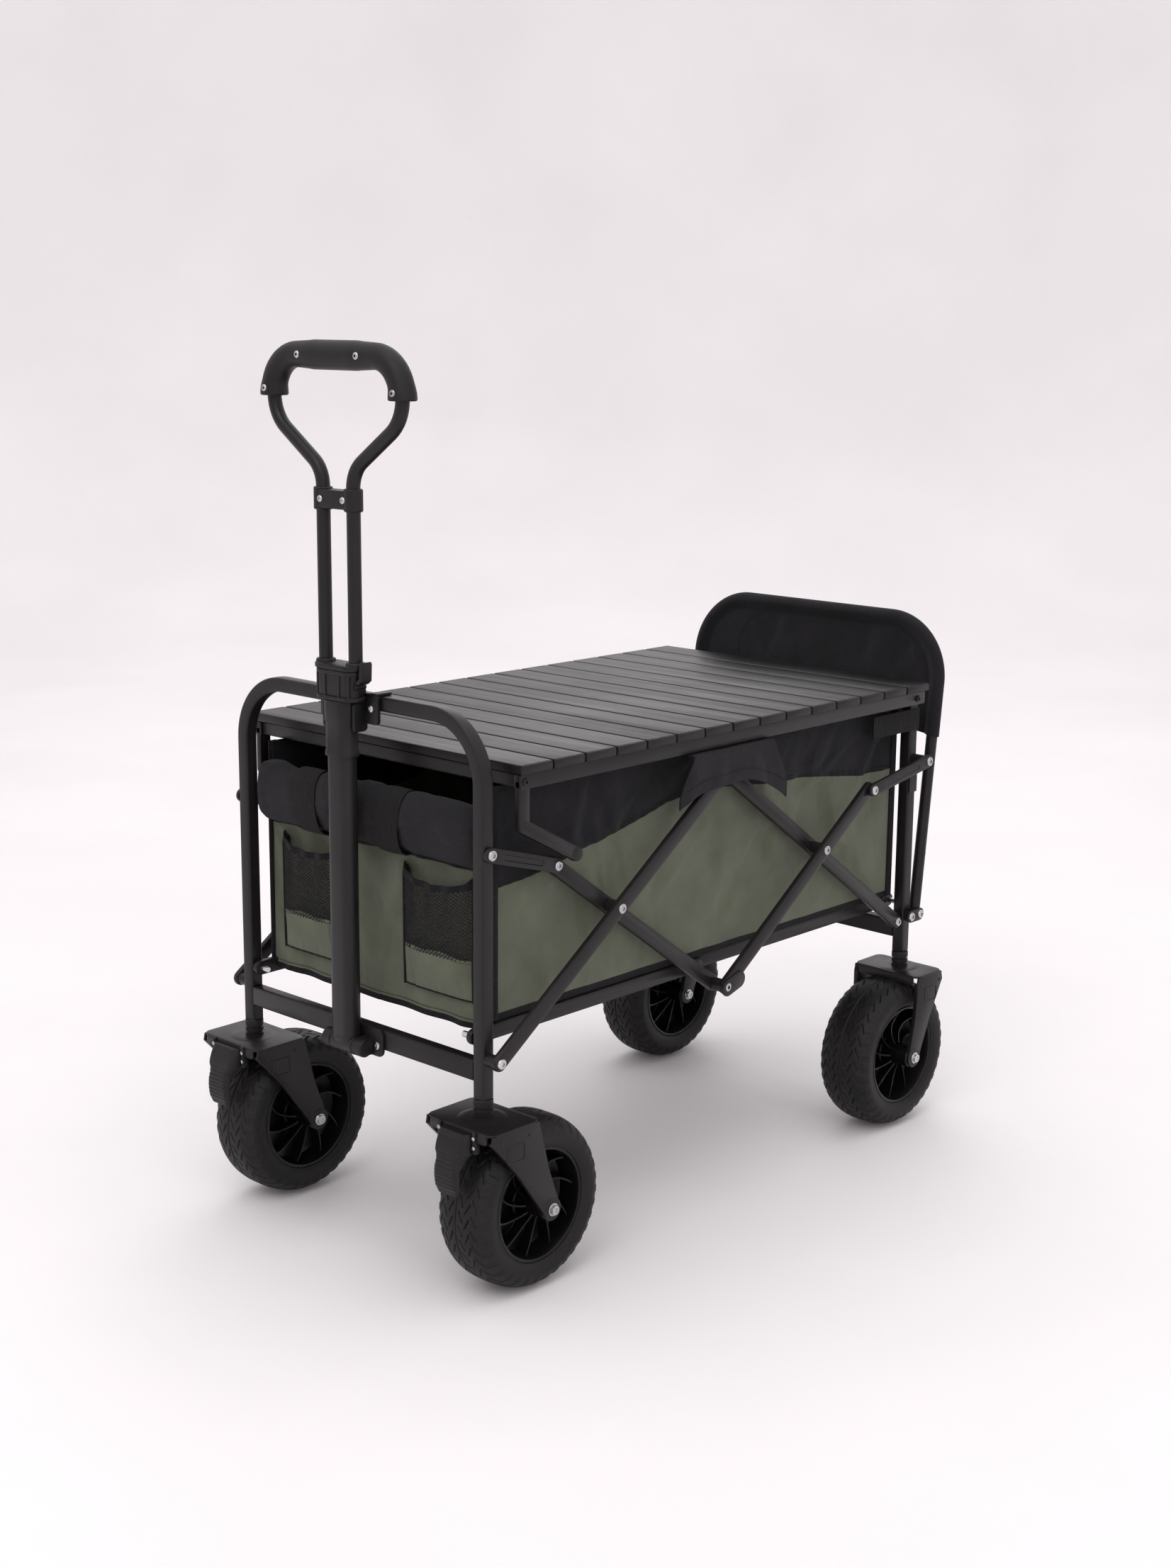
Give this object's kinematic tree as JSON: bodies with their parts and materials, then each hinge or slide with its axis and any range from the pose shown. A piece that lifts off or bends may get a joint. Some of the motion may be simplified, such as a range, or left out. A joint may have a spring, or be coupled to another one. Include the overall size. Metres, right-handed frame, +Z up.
{
  "type": "folding cart",
  "caption": "Folding cart with a fabric basket on scissor bars, a slatted lift-off table, a tilting telescopic pull handle, a drop-down tailgate and swivel casters.",
  "frame": {"origin": "ground under the middle of the whole cart's box, with the wheels standing on z = 0", "axes": "+X towards the pull handle, +Y to the cart's left, +Z up; wheels straight, table on, handle upright and extended frame"},
  "size_m": [1.0415, 0.578, 1.1762],
  "materials": {
    "frame_paint": "satin",
    "strut_paint": "satin",
    "slat_aluminium": "satin",
    "plastic": "matte",
    "grip_plastic": "matte",
    "steel": "polished",
    "fabric_olive": "matte",
    "fabric_black": "matte",
    "webbing": "matte",
    "tyre": "matte",
    "rim_plastic": "satin"
  },
  "bodies": {
    "front_frame": {"front_hoop": "frame_paint", "front_cross_bar": "frame_paint", "handle_bracket": "plastic", "hoop_clip": "plastic", "front_panel": "fabric_olive", "front_roll": "fabric_black", "front_pockets": "fabric_black", "front_pins": "steel", "side_panel_left": "fabric_olive", "side_panel_right": "fabric_olive", "floor_liner": "fabric_olive"},
    "draw_bar": {"draw_tube": "frame_paint", "snap_sleeve": "plastic", "telescope_collar": "plastic"},
    "pull_handle": {"rod_cap": "plastic", "pull_loop": "frame_paint", "rod_clip": "plastic", "grip": "grip_plastic", "loop_screws": "steel"},
    "clamp_lever": {"clamp_lever": "plastic"},
    "front_long_scissors": {"front_long_struts": "strut_paint"},
    "rear_long_scissors": {"rear_long_struts": "strut_paint"},
    "front_short_scissors": {"front_short_struts": "strut_paint"},
    "rear_short_scissors": {"rear_short_struts": "strut_paint"},
    "front_link_bars": {"front_links": "strut_paint"},
    "rear_link_bars": {"rear_links": "strut_paint"},
    "rear_frame": {"rear_posts": "frame_paint", "rear_cross_bar": "frame_paint", "rear_pins": "steel", "gate_plates": "frame_paint", "gate_straps": "webbing", "rear_panel": "fabric_olive"},
    "tailgate": {"tail_hoop": "frame_paint", "tail_flap": "fabric_black"},
    "front_floor": {"front_floor_rails": "frame_paint", "front_floor_board": "plastic"},
    "rear_floor": {"rear_floor_rails": "frame_paint", "rear_floor_board": "plastic"},
    "table": {"table_slats": "slat_aluminium", "table_rails": "frame_paint", "table_legs": "frame_paint", "table_rivets": "steel"},
    "caster_front_left": {"fork_front_left": "frame_paint"},
    "wheel_front_left": {"tyre_front_left": "tyre", "rim_front_left": "rim_plastic"},
    "caster_front_right": {"fork_front_right": "frame_paint"},
    "wheel_front_right": {"tyre_front_right": "tyre", "rim_front_right": "rim_plastic"},
    "caster_rear_left": {"fork_rear_left": "frame_paint"},
    "wheel_rear_left": {"tyre_rear_left": "tyre", "rim_rear_left": "rim_plastic"},
    "caster_rear_right": {"fork_rear_right": "frame_paint"},
    "wheel_rear_right": {"tyre_rear_right": "tyre", "rim_rear_right": "rim_plastic"},
    "brake_left": {"brake_pedal_left": "plastic"},
    "brake_right": {"brake_pedal_right": "plastic"}
  },
  "joints": [
    {"name": "fold", "type": "hinge", "parent": "front_frame", "child": "front_long_scissors", "pos_m": [0.44925, 0, 0.313], "axis": [0, 1, 0], "range_deg": [0, 36], "deforming": ["side_panel_left", "side_panel_right", "floor_liner"]},
    {"name": "middle_pivot", "type": "hinge", "parent": "front_long_scissors", "child": "rear_long_scissors", "pos_m": [0.01425, 0, 0.621], "axis": [0, 1, 0], "range_deg": [-73, 1]},
    {"name": "rear_frame_pivot", "type": "hinge", "parent": "rear_long_scissors", "child": "rear_frame", "pos_m": [-0.42075, 0, 0.313], "axis": [0, 1, 0], "range_deg": [-1, 37]},
    {"name": "front_crossing", "type": "hinge", "parent": "front_long_scissors", "child": "front_short_scissors", "pos_m": [0.23175, 0, 0.467], "axis": [0, 1, 0], "range_deg": [-73, 1]},
    {"name": "rear_crossing", "type": "hinge", "parent": "rear_long_scissors", "child": "rear_short_scissors", "pos_m": [-0.20325, 0, 0.467], "axis": [0, 1, 0], "range_deg": [-1, 73]},
    {"name": "front_link_pivot", "type": "hinge", "parent": "front_frame", "child": "front_link_bars", "pos_m": [0.44925, 0, 0.57254], "axis": [0, 1, 0], "range_deg": [-1, 84.91]},
    {"name": "rear_link_pivot", "type": "hinge", "parent": "rear_frame", "child": "rear_link_bars", "pos_m": [-0.44275, 0, 0.56187], "axis": [0, 1, 0], "range_deg": [-71.44, 1]},
    {"name": "front_floor_pivot", "type": "hinge", "parent": "front_frame", "child": "front_floor", "pos_m": [0.44925, 0, 0.337], "axis": [0, 1, 0], "range_deg": [-1, 70.14]},
    {"name": "rear_floor_pivot", "type": "hinge", "parent": "rear_frame", "child": "rear_floor", "pos_m": [-0.44275, 0, 0.337], "axis": [0, 1, 0], "range_deg": [-63.8, 1]},
    {"name": "table_lift", "type": "slide", "parent": "front_frame", "child": "table", "axis": [0, 0, 1], "range_m": [-0.001, 0.8268]},
    {"name": "handle_tilt", "type": "hinge", "parent": "front_frame", "child": "draw_bar", "pos_m": [0.47625, 0, 0.287], "axis": [0, 1, 0], "range_deg": [0, 95]},
    {"name": "telescope", "type": "slide", "parent": "draw_bar", "child": "pull_handle", "axis": [0, 0, 1], "range_m": [0, 0.18]},
    {"name": "clamp_flip", "type": "hinge", "parent": "draw_bar", "child": "clamp_lever", "pos_m": [0.47625, 0.034, 0.756], "axis": [1, 0, 0], "range_deg": [-70, 0]},
    {"name": "tailgate", "type": "hinge", "parent": "rear_frame", "child": "tailgate", "pos_m": [-0.46575, 0, 0.318], "axis": [0, -1, 0], "range_deg": [0, 80]},
    {"name": "swivel_front_left", "type": "hinge", "parent": "front_frame", "child": "caster_front_left", "pos_m": [0.44925, 0.224, 0.262], "axis": [0, 0, 1], "continuous": true},
    {"name": "wheel_front_left", "type": "hinge", "parent": "caster_front_left", "child": "wheel_front_left", "pos_m": [0.38625, 0.224, 0.1125], "axis": [0, 1, 0], "continuous": true},
    {"name": "swivel_front_right", "type": "hinge", "parent": "front_frame", "child": "caster_front_right", "pos_m": [0.44925, -0.224, 0.262], "axis": [0, 0, 1], "continuous": true},
    {"name": "wheel_front_right", "type": "hinge", "parent": "caster_front_right", "child": "wheel_front_right", "pos_m": [0.38625, -0.224, 0.1125], "axis": [0, 1, 0], "continuous": true},
    {"name": "swivel_rear_left", "type": "hinge", "parent": "rear_frame", "child": "caster_rear_left", "pos_m": [-0.44275, 0.224, 0.262], "axis": [0, 0, 1], "continuous": true},
    {"name": "wheel_rear_left", "type": "hinge", "parent": "caster_rear_left", "child": "wheel_rear_left", "pos_m": [-0.40475, 0.224, 0.1125], "axis": [0, 1, 0], "continuous": true},
    {"name": "swivel_rear_right", "type": "hinge", "parent": "rear_frame", "child": "caster_rear_right", "pos_m": [-0.44275, -0.224, 0.262], "axis": [0, 0, 1], "continuous": true},
    {"name": "wheel_rear_right", "type": "hinge", "parent": "caster_rear_right", "child": "wheel_rear_right", "pos_m": [-0.40475, -0.224, 0.1125], "axis": [0, 1, 0], "continuous": true},
    {"name": "brake_left", "type": "hinge", "parent": "caster_front_left", "child": "brake_left", "pos_m": [0.49325, 0.224, 0.224], "axis": [0, 1, 0], "range_deg": [0, 9]},
    {"name": "brake_right", "type": "hinge", "parent": "caster_front_right", "child": "brake_right", "pos_m": [0.49325, -0.224, 0.224], "axis": [0, 1, 0], "range_deg": [0, 9]}
  ],
  "couplings": [
    {"joint": "middle_pivot", "follows": "fold", "ratio": -2},
    {"joint": "rear_frame_pivot", "follows": "fold", "ratio": 1},
    {"joint": "front_crossing", "follows": "fold", "ratio": -2},
    {"joint": "rear_crossing", "follows": "fold", "ratio": 2},
    {"joint": "front_link_pivot", "follows": "fold", "ratio": 2.3308},
    {"joint": "rear_link_pivot", "follows": "fold", "ratio": -1.9565},
    {"joint": "front_floor_pivot", "follows": "fold", "ratio": 1.9205},
    {"joint": "rear_floor_pivot", "follows": "fold", "ratio": -1.7446},
    {"joint": "table_lift", "follows": "fold", "m_per_rad": 1.3}
  ]
}
